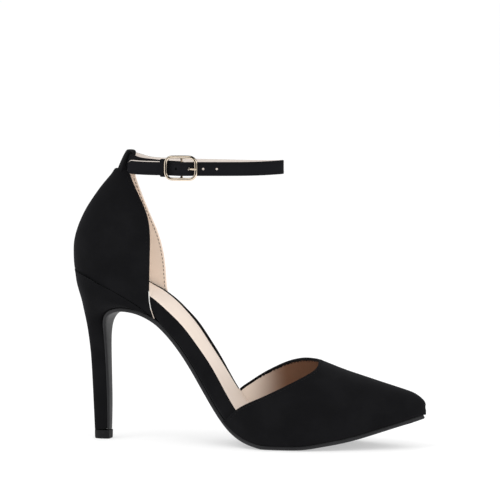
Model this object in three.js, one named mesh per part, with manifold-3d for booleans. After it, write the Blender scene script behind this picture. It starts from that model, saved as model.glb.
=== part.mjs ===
// An ankle strap pump, a right shoe: pointed closed toe, closed heel, open waist on both sides,
// a slender heel and an ankle strap with a centre bar buckle on the outer side.
// Millimetres. +X points to the toe, +Y to the inner side of the foot, +Z up.
// The origin is the middle of the heel tip, on the floor.
import * as THREE from "three";
import { mergeVertices } from "three/addons/utils/BufferGeometryUtils.js";
import Module from "manifold-3d";

const wasm = await Module();
wasm.setup();

// Driving dimensions of the whole shoe
const shoeLength = 229; // heel back to toe tip
const heelSetback = 19; // heel tip's middle, in front of the heel back
const archHeight = 82.7; // underside of the sole at the top of the arch
const seatHeight = 109.6; // lower edge of the quarter at the heel back
const ballWidth = 68.6; // insole board at the ball
const seatWidth = 47; // quarter at the heel seat, outside
const toeSpring = 18.8; // underside of the sole at the toe tip
const vampHeight = 52.7; // top of the vamp at the middle of the throat
const vampBulge = 3; // how far the vamp's wall stands outside the board
const vampWaist = 8.5; // height over the feather line of the vamp's widest place
const toeRadius = 4.6; // plan radius of the toe tip
const toeTaper = 0.43; // half width that the pointed toe gains per length, behind its tip
const gap = 0.3; // between pieces that touch

// Thicknesses
const soleThick = 2.8;
const breastThick = 1.5;
const upperWall = 1.7;
const sockThick = 2;
const boardWaist = 6.4; // insole board under the sock, at the waist
const boardFore = 2.2; // the same at the ball
const rimWidth = 1.3; // black edge of the board beside the sock
const rimHeight = 1.1; // how far it stands over the sock, at the heel

// Heel
const tipWidth = 8.8;
const liftHeight = 5.4;

// Quarter
const quarterTop = 171.7; // front corners of its top edge
const quarterBackTop = 172.8; // top edge at the heel back

// Ankle strap and its fittings
const strapWidth = 8.7;
const strapThick = 1.5;
const strapReach = 102.5; // from the strap's middle at the heel back to its front bend
const strapSpread = 17.4; // half the width of that loop, at its widest
const strapDrop = 5; // from the strap's middle at the heel back down to the buckle
const strapLean = 4; // how far the strap leans forward over its width, at the heel back
const holeRadius = 0.75;
const holePitch = 8.2;
const holeCount = 5;
const pinOver = 0.9; // how far the pin's end stands over the frame
const pinHole = 0.517; // where the pin goes through the strap, as a share of its length
const loopWall = 1.2;
const keeperWidth = 2.2;
const keeperWall = 0.7;
const frameLength = 21.8;
const frameHeight = 16;
const frameCorner = 4.2;
const frameRise = 0.5; // how far its middle stands over the pin
const frameWire = 1; // half the thickness of its wire
const barRadius = 0.6;
const prongRadius = 0.65;
const foldWall = 0.8; // strap end folded round the centre bar
const buckleReach = 42; // from the strap's middle at the heel back to the centre bar

const alongShoe = (share) => share * shoeLength - heelSetback;

// A smooth curve through a table's rows that never overshoots, so equal rows stay flat
function curveOf(rows, key, value) {
  const k = rows.map((row) => row[key]);
  const v = rows.map((row) => row[value]);
  const last = rows.length - 1;
  const step = k.slice(1).map((x, i) => x - k[i]);
  const slope = step.map((h, i) => (v[i + 1] - v[i]) / h);
  const tangent = v.map((_, i) => {
    if (i === 0) return slope[0];
    if (i === last) return slope[last - 1];
    if (slope[i - 1] * slope[i] <= 0) return 0;
    const before = 2 * step[i] + step[i - 1];
    const after = step[i] + 2 * step[i - 1];
    return (before + after) / (before / slope[i - 1] + after / slope[i]);
  });
  return (x) => {
    if (x <= k[0]) return v[0];
    if (x >= k[last]) return v[last];
    let i = 0;
    while (x > k[i + 1]) i += 1;
    const t = (x - k[i]) / step[i];
    const bend = t * t * (3 - 2 * t);
    return v[i] + (v[i + 1] - v[i]) * bend
      + step[i] * t * (1 - t) * (tangent[i] * (1 - t) - tangent[i + 1] * t);
  };
}

const mix = (a, b, t) => a + (b - a) * t;
const shares = (count) => Array.from({ length: count + 1 }, (_, i) => i / count);

// Solids and meshes
function solidOf(points, faces) {
  const geometry = new THREE.BufferGeometry();
  geometry.setAttribute("position", new THREE.Float32BufferAttribute(points.flat(), 3));
  geometry.setIndex(faces.flat());
  return solidFrom(geometry);
}

function solidFrom(geometry) {
  const bare = geometry.clone();
  bare.deleteAttribute("normal");
  bare.deleteAttribute("uv");
  const merged = mergeVertices(bare, 1e-4);
  const index = merged.index.array;
  const kept = [];
  for (let i = 0; i < index.length; i += 3) {
    const [a, b, c] = index.slice(i, i + 3);
    if (a !== b && b !== c && a !== c) kept.push(a, b, c);
  }
  return new wasm.Manifold(new wasm.Mesh({
    numProp: 3,
    vertProperties: merged.attributes.position.array,
    triVerts: new Uint32Array(kept),
  }));
}

const MATERIALS = {
  fabric: { color: 0x1b1b1d, roughness: 0.95, metalness: 0 },
  sole: { color: 0x2c2c30, roughness: 0.55, metalness: 0 },
  rubber: { color: 0x26262a, roughness: 0.7, metalness: 0 },
  lining: { color: 0xe3d0c0, roughness: 0.8, metalness: 0 },
  gold: { color: 0xe0c8a8, roughness: 0.25, metalness: 1 },
};

const shoe = new THREE.Group();

function addPiece(name, material, solid) {
  const made = solid.getMesh();
  const geometry = new THREE.BufferGeometry();
  geometry.setAttribute("position", new THREE.BufferAttribute(made.vertProperties, 3));
  geometry.setIndex(new THREE.BufferAttribute(made.triVerts, 1));
  const mesh = new THREE.Mesh(geometry, new THREE.MeshStandardMaterial(MATERIALS[material]));
  mesh.name = name;
  shoe.add(mesh);
}

// Skin over a grid of points: rows follow each other, and each row is a closed ring
function skinRings(rings, closed = false) {
  const size = rings[0].length;
  const faces = [];
  const turns = closed ? rings.length : rings.length - 1;
  for (let r = 0; r < turns; r += 1) {
    const here = r * size;
    const next = ((r + 1) % rings.length) * size;
    for (let c = 0; c < size; c += 1) {
      const d = (c + 1) % size;
      faces.push([here + c, here + d, next + d], [here + c, next + d, next + c]);
    }
  }
  if (!closed) {
    const last = rings.length - 1;
    faces.push(...capFaces(rings[0], 0).map(([a, b, c]) => [a, c, b]));
    faces.push(...capFaces(rings[last], last * size));
  }
  return outward(rings.flat(), faces);
}

// Triangles that close a ring of points, laid out in the plane that the ring is seen in best
function capFaces(ring, start) {
  const corners = ring.map((point) => new THREE.Vector3(...point));
  const normal = new THREE.Vector3();
  corners.forEach((corner, i) => {
    normal.add(corner.clone().cross(corners[(i + 1) % corners.length]));
  });
  const across = corners[1].clone().sub(corners[0]).projectOnPlane(normal.normalize()).normalize();
  const upward = normal.clone().cross(across);
  const flat = corners.map((corner) => new THREE.Vector2(corner.dot(across), corner.dot(upward)));
  return THREE.ShapeUtils.triangulateShape(flat, []).map((face) => face.map((i) => start + i));
}

// A solid from faces that all point out or all point in
function outward(points, faces) {
  const solid = solidOf(points, faces);
  return solid.volume() > 0 ? solid : solidOf(points, faces.map(([a, b, c]) => [a, c, b]));
}

// A wall between an outer and an inner grid of points of the same size, closed at all four edges.
// With a closed end, each skin's last row meets itself instead, as at the tip of a toe.
function skinWall(outer, inner, closedEnd = false) {
  const rows = outer.length;
  const cols = outer[0].length;
  const points = [...outer.flat(), ...inner.flat()];
  const shift = rows * cols;
  const at = (r, c) => r * cols + c;
  const faces = [];
  const quad = (a, b, c, d) => faces.push([a, b, c], [a, c, d]);
  for (let r = 0; r + 1 < rows; r += 1) {
    for (let c = 0; c + 1 < cols; c += 1) {
      quad(at(r, c), at(r, c + 1), at(r + 1, c + 1), at(r + 1, c));
      quad(shift + at(r, c), shift + at(r + 1, c), shift + at(r + 1, c + 1), shift + at(r, c + 1));
    }
  }
  for (let c = 0; c + 1 < cols; c += 1) {
    quad(at(0, c + 1), at(0, c), shift + at(0, c), shift + at(0, c + 1));
    const r = rows - 1;
    if (!closedEnd) quad(at(r, c), at(r, c + 1), shift + at(r, c + 1), shift + at(r, c));
  }
  for (let r = 0; r + 1 < rows; r += 1) {
    quad(at(r, 0), at(r + 1, 0), shift + at(r + 1, 0), shift + at(r, 0));
    const c = cols - 1;
    quad(at(r + 1, c), at(r, c), shift + at(r, c), shift + at(r + 1, c));
  }
  return outward(points, faces);
}

// Sole line: the underside from the foot of the breast, up the heel's front, over the arch and
// down the waist to the toe. rise is a share of the arch height, spring a share of the toe spring,
// half a share of the ball width and swing its middle's shift to the inner side, also a share. thick
// runs from the breast's thickness at 0 to the sole's at 1, and above 1 is a multiple of it.
const SOLE = [
  { along: 0.1037, rise: 0.071, spring: 0, half: 0.052, swing: 0, thick: 0 },
  { along: 0.1047, rise: 0.27, spring: 0, half: 0.06, swing: 0, thick: 0 },
  { along: 0.1027, rise: 0.49, spring: 0, half: 0.068, swing: 0, thick: 0 },
  { along: 0.1004, rise: 0.68, spring: 0, half: 0.08, swing: 0, thick: 0.05 },
  { along: 0.0991, rise: 0.8, spring: 0, half: 0.098, swing: 0, thick: 0.1 },
  { along: 0.1003, rise: 0.886, spring: 0, half: 0.13, swing: 0, thick: 0.25 },
  { along: 0.1085, rise: 0.951, spring: 0, half: 0.178, swing: 0, thick: 0.45 },
  { along: 0.131, rise: 0.988, spring: 0, half: 0.235, swing: 0, thick: 0.7 },
  { along: 0.1616, rise: 1, spring: 0, half: 0.275, swing: 0, thick: 0.85 },
  { along: 0.1943, rise: 0.989, spring: 0, half: 0.29, swing: 0, thick: 1 },
  { along: 0.2249, rise: 0.959, spring: 0, half: 0.29, swing: 0, thick: 1.1 },
  { along: 0.2555, rise: 0.908, spring: 0, half: 0.276, swing: 0, thick: 1.15 },
  { along: 0.2904, rise: 0.808, spring: 0, half: 0.25, swing: 0, thick: 1 },
  { along: 0.3253, rise: 0.679, spring: 0, half: 0.225, swing: -0.003, thick: 1 },
  { along: 0.3603, rise: 0.523, spring: 0, half: 0.207, swing: -0.006, thick: 1 },
  { along: 0.3952, rise: 0.361, spring: 0, half: 0.205, swing: -0.012, thick: 1 },
  { along: 0.4301, rise: 0.221, spring: 0, half: 0.228, swing: -0.022, thick: 1 },
  { along: 0.4651, rise: 0.122, spring: 0, half: 0.28, swing: -0.034, thick: 1 },
  { along: 0.5, rise: 0.062, spring: 0, half: 0.35, swing: -0.042, thick: 1 },
  { along: 0.5349, rise: 0.026, spring: 0, half: 0.418, swing: -0.04, thick: 1 },
  { along: 0.5699, rise: 0.004, spring: 0, half: 0.468, swing: -0.03, thick: 1 },
  { along: 0.5873, rise: 0, spring: 0, half: 0.487, swing: -0.022, thick: 1 },
  { along: 0.66, rise: 0, spring: 0, half: 0.513, swing: 0.01, thick: 1 },
  { along: 0.7009, rise: 0, spring: 0.03, half: 0.503, swing: 0.018, thick: 1 },
  { along: 0.7445, rise: 0, spring: 0.12, half: 0.464, swing: 0.025, thick: 1 },
  { along: 0.7882, rise: 0, spring: 0.215, half: 0.408, swing: 0.03, thick: 0.98 },
  { along: 0.8319, rise: 0, spring: 0.345, half: 0.344, swing: 0.033, thick: 0.94 },
  { along: 0.8755, rise: 0, spring: 0.51, half: 0.274, swing: 0.037, thick: 0.88 },
  { along: 0.9192, rise: 0, spring: 0.685, half: 0.198, swing: 0.043, thick: 0.8 },
  { along: 0.9629, rise: 0, spring: 0.855, half: 0.114, swing: 0.05, thick: 0.74 },
  { along: 0.9845, rise: 0, spring: 0.945, half: 0.064, swing: 0.055, thick: 0.7 },
  { along: 0.9952, rise: 0, spring: 0.99, half: 0.024, swing: 0.058, thick: 0.7 },
].map((row, index) => ({ ...row, index }));

const soleColumn = Object.fromEntries(
  ["along", "rise", "spring", "half", "swing", "thick"].map((name) => [name, curveOf(SOLE, "index", name)]),
);

// A point of the sole line at a row number, with the normal that points into the shoe
function soleAt(row) {
  const spot = (r) => [
    alongShoe(soleColumn.along(r)),
    soleColumn.rise(r) * archHeight + soleColumn.spring(r) * toeSpring,
  ];
  const [x, z] = spot(row);
  const [x0, z0] = spot(Math.max(row - 0.02, 0));
  const [x1, z1] = spot(Math.min(row + 0.02, SOLE.length - 1));
  const run = Math.hypot(x1 - x0, z1 - z0);
  const grade = soleColumn.thick(row);
  return {
    x, z,
    normal: [-(z1 - z0) / run, (x1 - x0) / run],
    half: soleColumn.half(row) * ballWidth,
    swing: soleColumn.swing(row) * ballWidth,
    thick: mix(breastThick, soleThick, Math.min(grade, 1)) * Math.max(grade, 1),
  };
}

// The row number of the sole line over a place along the shoe, from the arch forward
const archRow = SOLE.findIndex((row) => row.rise === 1);
const soleRow = curveOf(SOLE.slice(archRow), "along", "index");
const soleUnder = (x) => soleAt(soleRow((x + heelSetback) / shoeLength));

// Feather line: where the upper and insole board meet the heel and the outsole.
// In front of the join it is the top of the outsole; behind it, it climbs to the seat's back.
const joinAlong = 0.275;
const SEAT = [
  { back: 0, climb: 1 },
  { back: 0.04, climb: 0.965 },
  { back: 0.11, climb: 0.917 },
  { back: 0.227, climb: 0.847 },
  { back: 0.335, climb: 0.75 },
  { back: 0.454, climb: 0.657 },
  { back: 0.567, climb: 0.56 },
  { back: 0.66, climb: 0.463 },
  { back: 0.752, climb: 0.368 },
  { back: 0.83, climb: 0.278 },
  { back: 0.91, climb: 0.157 },
  { back: 1, climb: 0 },
];
const seatCurve = curveOf(SEAT, "back", "climb");
const joinX = alongShoe(joinAlong);
const soleTop = (x) => {
  const under = soleUnder(x);
  return under.z + under.thick / Math.max(under.normal[1], 0.3);
};
const feather = (x) => {
  if (x >= joinX) return soleTop(x) + gap / 2;
  const back = (x + heelSetback) / (joinX + heelSetback);
  return mix(soleTop(joinX) + gap / 2, seatHeight, seatCurve(Math.max(back, 0)));
};
const featherSlope = (x) => {
  const reach = 0.5;
  const rise = (feather(x + reach) - feather(x - reach)) / (2 * reach);
  return Math.sqrt(1 + rise * rise);
};

// Insole board outline: half and swing are shares of the ball width, bed runs from the thickness at
// the ball to the one at the waist, and rimOuter and rimInner are shares of the rim height.
const BOARD = [
  { along: 0.2, half: 0.322, swing: 0, bed: 0.9, rimOuter: 0.55, rimInner: 0.55 },
  { along: 0.2467, half: 0.318, swing: 0, bed: 0.95, rimOuter: 0.91, rimInner: 0.82 },
  { along: 0.2729, half: 0.3, swing: 0, bed: 0.93, rimOuter: 1, rimInner: 0.91 },
  { along: 0.2991, half: 0.279, swing: 0, bed: 1.01, rimOuter: 1, rimInner: 1.1 },
  { along: 0.3428, half: 0.254, swing: -0.003, bed: 1.04, rimOuter: 1, rimInner: 1.5 },
  { along: 0.3777, half: 0.236, swing: -0.007, bed: 1.18, rimOuter: 1.09, rimInner: 1.6 },
  { along: 0.4127, half: 0.237, swing: -0.017, bed: 1.49, rimOuter: 1.55, rimInner: 1.3 },
  { along: 0.4476, half: 0.262, swing: -0.03, bed: 1.74, rimOuter: 2.36, rimInner: 0.64 },
  { along: 0.4738, half: 0.294, swing: -0.038, bed: 1.7, rimOuter: 2.82, rimInner: 0.45 },
  { along: 0.5044, half: 0.344, swing: -0.042, bed: 1.3, rimOuter: 2, rimInner: 0.27 },
  { along: 0.5393, half: 0.402, swing: -0.04, bed: 0.7, rimOuter: 0.73, rimInner: 0.27 },
  { along: 0.5699, half: 0.447, swing: -0.032, bed: 0.25, rimOuter: 0.36, rimInner: 0.27 },
  { along: 0.6048, half: 0.481, swing: -0.012, bed: 0, rimOuter: 0.27, rimInner: 0.27 },
  { along: 0.6485, half: 0.5, swing: 0.007, bed: 0, rimOuter: 0.27, rimInner: 0.27 },
  { along: 0.6921, half: 0.493, swing: 0.017, bed: 0, rimOuter: 0.27, rimInner: 0.27 },
  { along: 0.7358, half: 0.455, swing: 0.025, bed: 0, rimOuter: 0.27, rimInner: 0.27 },
  { along: 0.7795, half: 0.4, swing: 0.03, bed: 0, rimOuter: 0.27, rimInner: 0.27 },
  { along: 0.8231, half: 0.336, swing: 0.033, bed: 0, rimOuter: 0.27, rimInner: 0.27 },
  { along: 0.8668, half: 0.266, swing: 0.037, bed: 0, rimOuter: 0.27, rimInner: 0.27 },
  { along: 0.9105, half: 0.19, swing: 0.043, bed: 0, rimOuter: 0.27, rimInner: 0.27 },
  { along: 0.95, half: 0.115, swing: 0.05, bed: 0, rimOuter: 0.27, rimInner: 0.27 },
  { along: 0.972, half: 0.06, swing: 0.054, bed: 0, rimOuter: 0.27, rimInner: 0.27 },
];
const boardColumn = Object.fromEntries(
  ["half", "swing", "bed", "rimOuter", "rimInner"].map((name) => [name, curveOf(BOARD, "along", name)]),
);
const shareAt = (x) => (x + heelSetback) / shoeLength;
const boardHalf = (x) => boardColumn.half(shareAt(x)) * ballWidth;
const boardSwing = (x) => boardColumn.swing(shareAt(x)) * ballWidth;

// Quarter: level sections, each a U that is open to the front. height is the share of the way from
// the seat to the top; back, outer and inner are where the back and the two front edges lie, as
// shares of the shoe length; half is the half width as a share of the seat width; curl is how much of
// the section's length its round back takes.
const QUARTER = [
  { height: -0.4813, back: 0, outer: 0.2585, inner: 0.2595, half: 0.485, curl: 0.6 },
  { height: -0.36, back: 0, outer: 0.2455, inner: 0.2475, half: 0.49, curl: 0.6 },
  { height: -0.241, back: 0, outer: 0.2435, inner: 0.2395, half: 0.495, curl: 0.6 },
  { height: -0.0403, back: 0.006, outer: 0.2442, inner: 0.235, half: 0.5, curl: 0.6 },
  { height: -0.0111, back: 0.0035, outer: 0.2444, inner: 0.2345, half: 0.502, curl: 0.6 },
  { height: 0.0804, back: 0.001, outer: 0.2455, inner: 0.2315, half: 0.5, curl: 0.6 },
  { height: 0.1605, back: 0.0003, outer: 0.245, inner: 0.228, half: 0.492, curl: 0.6 },
  { height: 0.2406, back: 0.0005, outer: 0.2452, inner: 0.2235, half: 0.478, curl: 0.6 },
  { height: 0.3207, back: 0.0042, outer: 0.2438, inner: 0.218, half: 0.455, curl: 0.6 },
  { height: 0.4008, back: 0.0103, outer: 0.2415, inner: 0.2115, half: 0.424, curl: 0.61 },
  { height: 0.4809, back: 0.0188, outer: 0.2365, inner: 0.2038, half: 0.385, curl: 0.62 },
  { height: 0.561, back: 0.029, outer: 0.229, inner: 0.1965, half: 0.343, curl: 0.64 },
  { height: 0.6411, back: 0.0413, outer: 0.2175, inner: 0.1898, half: 0.301, curl: 0.66 },
  { height: 0.7212, back: 0.0565, outer: 0.2045, inner: 0.183, half: 0.262, curl: 0.69 },
  { height: 0.8013, back: 0.072, outer: 0.1915, inner: 0.1765, half: 0.232, curl: 0.72 },
  { height: 0.8814, back: 0.09, outer: 0.1805, inner: 0.169, half: 0.212, curl: 0.76 },
  { height: 0.9615, back: 0.1096, outer: 0.171, inner: 0.1635, half: 0.2, curl: 0.8 },
  { height: 1.0218, back: 0.1207, outer: 0.1665, inner: 0.1615, half: 0.196, curl: 0.82 },
];
const quarterColumn = Object.fromEntries(
  ["back", "outer", "inner", "half", "curl"].map((name) => [name, curveOf(QUARTER, "height", name)]),
);
const quarterLevel = (z) => (z - seatHeight) / (quarterTop - seatHeight);

const curlEnd = 0.7; // where a section's round back passes into its straight side
const quarterRound = 0.92; // squareness of that back, where 1 is an ellipse
const quarterTaper = 0.05; // share of its half width that the straight side draws in

// A point of the quarter's outside, inset by some millimetres. side is -1 for the outer side and
// 1 for the inner side; turn runs from 0 at the heel back to 1 at the front edge.
function quarterPoint(side, turn, z, inset) {
  const level = quarterLevel(z);
  const back = alongShoe(quarterColumn.back(level)) + inset;
  const front = alongShoe(side < 0 ? quarterColumn.outer(level) : quarterColumn.inner(level));
  const half = quarterColumn.half(level) * seatWidth - inset;
  const depth = quarterColumn.curl(level) * (front - back);
  const curl = Math.min(turn / curlEnd, 1);
  const straight = Math.max((turn - curlEnd) / (1 - curlEnd), 0);
  const angle = (curl * Math.PI) / 2;
  const taper = 1 - quarterTaper * straight * straight;
  const corner = back + depth;
  const round = back + depth * (1 - Math.cos(angle) ** quarterRound);
  const x = straight > 0 ? mix(corner, front, straight) : round;
  return [x, side * half * Math.sin(angle) ** quarterRound * taper, z];
}

// Half width of the quarter's section at a place along the shoe, by stepping along its curve
function quarterHalfAt(x, z, inset, side) {
  let best = 0;
  for (const turn of shares(60)) {
    const [px, py] = quarterPoint(side, turn, z, inset);
    if (px <= x) best = Math.abs(py);
  }
  return best;
}

function lowestQuarter(side, turn) {
  let z = seatHeight;
  for (let i = 0; i < 30; i += 1) {
    const x = quarterPoint(side, turn, z, 0)[0];
    z = mix(z, feather(x) + gap / 2, 0.6);
  }
  return z;
}

function quarter() {
  const turns = shares(24).map((t) => t * 2 - 1);
  const levels = shares(16);
  const grid = (inset) => levels.map((level) => turns.map((t) => {
    const side = t < 0 ? -1 : 1;
    const turn = Math.abs(t);
    const low = lowestQuarter(side, turn);
    const high = mix(quarterBackTop, quarterTop, turn);
    return quarterPoint(side, turn, mix(low, high, level), inset);
  }));
  return skinWall(grid(0), grid(upperWall));
}
addPiece("quarter", "fabric", quarter());

// Vamp: cross sections of the last. ridge is the height of the top line over the floor, as a share
// of the vamp height; bulge and waist are shares of the vamp's bulge and waist; full is the power
// of its rounding, where 2 is an ellipse.
const VAMP = [
  { along: 0.4, ridge: 1.9338, bulge: 0.7, full: 1.9, waist: 1.294 },
  { along: 0.46, ridge: 1.6487, bulge: 0.7, full: 1.9, waist: 1.176 },
  { along: 0.5, ridge: 1.4964, bulge: 0.733, full: 1.9, waist: 1.059 },
  { along: 0.54, ridge: 1.3637, bulge: 0.767, full: 1.9, waist: 1 },
  { along: 0.58, ridge: 1.2506, bulge: 0.867, full: 1.9, waist: 1 },
  { along: 0.62, ridge: 1.1573, bulge: 0.967, full: 1.9, waist: 1 },
  { along: 0.66, ridge: 1.0835, bulge: 1, full: 1.9, waist: 1 },
  { along: 0.7, ridge: 1.0256, bulge: 1, full: 1.92, waist: 1 },
  { along: 0.7162, ridge: 1, bulge: 1, full: 1.94, waist: 1 },
  { along: 0.749, ridge: 0.945, bulge: 1, full: 1.98, waist: 0.976 },
  { along: 0.7838, ridge: 0.8938, bulge: 1, full: 2.02, waist: 0.941 },
  { along: 0.8171, ridge: 0.8506, bulge: 1, full: 2.06, waist: 0.906 },
  { along: 0.8511, ridge: 0.8064, bulge: 1, full: 2.1, waist: 0.871 },
  { along: 0.8843, ridge: 0.7631, bulge: 1, full: 2.15, waist: 0.835 },
  { along: 0.9192, ridge: 0.7189, bulge: 1, full: 2.2, waist: 0.8 },
  { along: 0.9524, ridge: 0.6756, bulge: 1.067, full: 2.2, waist: 0.753 },
  { along: 0.972, ridge: 0.6442, bulge: 1.167, full: 2.2, waist: 0.659 },
  { along: 1, ridge: 0.5921, bulge: 1.167, full: 2.2, waist: 0.588 },
];
const vampColumn = Object.fromEntries(
  ["ridge", "bulge", "full", "waist"].map((name) => [name, curveOf(VAMP, "along", name)]),
);
const wallShare = 0.22; // share of a section's lines that its upright wall takes
const noseStart = 0.955; // where the toe starts to round off
const noseCentre = 0.5085; // height of the toe's foremost point, as a share of the vamp height
const bodyEnd = alongShoe(0.99); // the toe's rounding has no sections of its own in front of this
const boardEnd = alongShoe(0.972); // the board's outline stops here
const tuckShare = 0.7; // of its half width that a section may draw in at its foot
const toeInset = 0.55; // share of the wall's thickness that the rounded point is narrower inside
const noseRound = 2.6; // squareness of the toe's rounding in side view
const toeCrowd = 1.35; // draws the sections closer together towards the toe

// Half width of the vamp: the board's outline with the bulge, then a rounded point
const toeStart = alongShoe(0.8668); // the rounded point takes over from the board's outline
function vampHalf(x, bulge, inset) {
  if (x < toeStart) return boardHalf(x) + bulge - inset;
  const left = Math.max(shoeLength - heelSetback - inset - x, 0);
  const slim = 1 - Math.max(inset - left, 0) / Math.max(inset, 1);
  return Math.sqrt((toeTaper * left) ** 2 + 2 * toeRadius * left) - inset * toeInset * slim;
}

// A point of the vamp's outside, inset by some millimetres. around runs from -1 at the outer
// feather line over the top at 0 to 1 at the inner one.
function vampPoint(x, around, inset) {
  const tip = shoeLength - heelSetback - inset;
  const nose = alongShoe(noseStart);
  const bodyX = Math.min(x, bodyEnd);
  const share = shareAt(bodyX);
  const side = around < 0 ? -1 : 1;
  const up = 1 - Math.abs(around);
  const low = feather(bodyX) + gap / 2;
  const top = vampColumn.ridge(share) * vampHeight - inset;
  const bulge = vampColumn.bulge(share) * vampBulge;
  const half = Math.max(vampHalf(x, bulge, inset), 0);
  const tuck = Math.min(bulge - upperWall - gap, half * tuckShare);
  const wide = low + vampColumn.waist(share) * vampWaist;
  const power = 2 / vampColumn.full(share);
  let y;
  let z;
  if (up < wallShare) {
    const angle = ((up / wallShare) * Math.PI) / 2;
    y = half - tuck * (1 - Math.sin(angle));
    z = mix(low, wide, 1 - Math.cos(angle));
  } else {
    const angle = (((up - wallShare) / (1 - wallShare)) * Math.PI) / 2;
    y = half * Math.max(Math.cos(angle), 0) ** power;
    z = mix(wide, top, Math.sin(angle) ** power);
  }
  y = boardSwing(Math.min(x, boardEnd)) + side * y;
  if (x <= nose) return [x, y, z];
  const reach = Math.min((x - nose) / (tip - nose), 1);
  const shrink = Math.sqrt(Math.max(1 - reach ** noseRound, 0));
  const centre = noseCentre * vampHeight;
  return [x, y, z > centre ? mix(centre, z, shrink) : z];
}

// Throat: the vamp's top edge on both sides, from the sole to the middle of the instep.
// height is the share of the way from the feather line to the ridge above it.
const THROAT_OUTER = [
  { along: 0.455, height: 0 },
  { along: 0.477, height: 0.1 },
  { along: 0.4885, height: 0.17 },
  { along: 0.506, height: 0.25 },
  { along: 0.5175, height: 0.287 },
  { along: 0.532, height: 0.337 },
  { along: 0.5552, height: 0.406 },
  { along: 0.6024, height: 0.541 },
  { along: 0.6452, height: 0.677 },
  { along: 0.684, height: 0.81 },
  { along: 0.7008, height: 0.876 },
  { along: 0.7088, height: 0.925 },
  { along: 0.7104, height: 0.956 },
  { along: 0.7072, height: 0.983 },
  { along: 0.703, height: 1 },
];
const THROAT_INNER = [
  { along: 0.425, height: 0 },
  { along: 0.44, height: 0.1 },
  { along: 0.4512, height: 0.2 },
  { along: 0.4552, height: 0.233 },
  { along: 0.4776, height: 0.342 },
  { along: 0.5016, height: 0.453 },
  { along: 0.5248, height: 0.547 },
  { along: 0.5475, height: 0.63 },
  { along: 0.5728, height: 0.718 },
  { along: 0.5976, height: 0.797 },
  { along: 0.6292, height: 0.878 },
  { along: 0.65, height: 0.925 },
  { along: 0.668, height: 0.95 },
  { along: 0.688, height: 0.98 },
  { along: 0.703, height: 1 },
];

const throatAlong = THROAT_OUTER.at(-1).along;

// The place along the shoe where the wall starts, for each line around the vamp
function throatStarts(rows, side, lines) {
  const edge = [];
  const alongOf = curveOf(rows, "height", "along");
  for (const t of shares(240)) {
    const x = alongShoe(alongOf(t));
    const low = vampPoint(x, side, 0)[2];
    const top = vampPoint(x, 0, 0)[2];
    const z = mix(low, top, t);
    let a = 1;
    let b = 0;
    for (let i = 0; i < 24; i += 1) {
      const m = (a + b) / 2;
      if (vampPoint(x, side * m, 0)[2] < z) a = m;
      else b = m;
    }
    edge.push({ up: 1 - (a + b) / 2, x });
  }
  return lines.map((line) => {
    const up = 1 - Math.abs(line);
    const next = edge.findIndex((e) => e.up >= up);
    if (next <= 0) return edge[Math.max(next, 0)].x;
    const [p, q] = [edge[next - 1], edge[next]];
    return mix(p.x, q.x, (up - p.up) / (q.up - p.up));
  });
}

function vamp() {
  const lines = shares(28).map((t) => t * 2 - 1);
  const outerLines = throatStarts(THROAT_OUTER, -1, lines);
  const innerLines = throatStarts(THROAT_INNER, 1, lines);
  const starts = lines.map((line, i) => (line < 0 ? outerLines[i] : innerLines[i]));
  starts[lines.indexOf(0)] = alongShoe(throatAlong);
  const tip = shoeLength - heelSetback;
  const steps = shares(24).map((t) => 1 - (1 - t) ** toeCrowd);
  const grid = (inset) => steps.map((t) => lines.map((line, i) => {
    const x = mix(starts[i], tip - inset, t);
    return vampPoint(x, line, inset);
  }));
  return skinWall(grid(0), grid(upperWall), true);
}
addPiece("vamp", "fabric", vamp());

// Outsole: one ribbon from the toe to the foot of the breast
const soleEdge = 0.5; // rounding of its edges
function soleSection(row) {
  const { x, z, normal, half, swing, thick } = soleAt(row);
  const at = (y, rise) => [x + normal[0] * rise, swing + y, z + normal[1] * rise];
  const edge = Math.min(soleEdge, half * 0.4);
  return [
    at(-half + edge, 0), at(-half, edge), at(-half, thick),
    at(half, thick), at(half, edge), at(half - edge, 0),
  ];
}
const soleRows = shares((SOLE.length - 1) * 2).map((t) => t * (SOLE.length - 1));
addPiece("outsole", "sole", skinRings(soleRows.map(soleSection)));

// Heel: D shaped sections between a back line and the inside of the breast. back is a share of the
// shoe length and height one of the seat height, down from the seat; row is the sole line's row at
// the section's front; flare runs from the tip's width to the seat's; bow is the share of the
// section that its round back takes.
const HEEL = [
  { back: 0.0045, height: 0, row: 10.5, flare: 1, bow: 0.42 },
  { back: 0.0092, height: 0.067, row: 10.1, flare: 0.975, bow: 0.43 },
  { back: 0.0165, height: 0.1256, row: 9.4, flare: 0.914, bow: 0.45 },
  { back: 0.0252, height: 0.1871, row: 8.6, flare: 0.803, bow: 0.47 },
  { back: 0.0305, height: 0.2477, row: 7.6, flare: 0.619, bow: 0.5 },
  { back: 0.035, height: 0.3014, row: 6.7, flare: 0.422, bow: 0.55 },
  { back: 0.039, height: 0.3552, row: 5.9, flare: 0.262, bow: 0.6 },
  { back: 0.0425, height: 0.4138, row: 4.9, flare: 0.163, bow: 0.66 },
  { back: 0.0475, height: 0.5115, row: 3.5, flare: 0.09, bow: 0.7 },
  { back: 0.0506, height: 0.6287, row: 2.45, flare: 0.048, bow: 0.72 },
  { back: 0.0537, height: 0.7655, row: 1.4, flare: 0.018, bow: 0.74 },
  { back: 0.0575, height: 0.9463, row: 0.04, flare: 0, bow: 0.75 },
].map((row, index) => ({ ...row, index }));
const heelColumn = Object.fromEntries(
  ["back", "height", "row", "flare", "bow"].map((name) => [name, curveOf(HEEL, "index", name)]),
);

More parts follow.
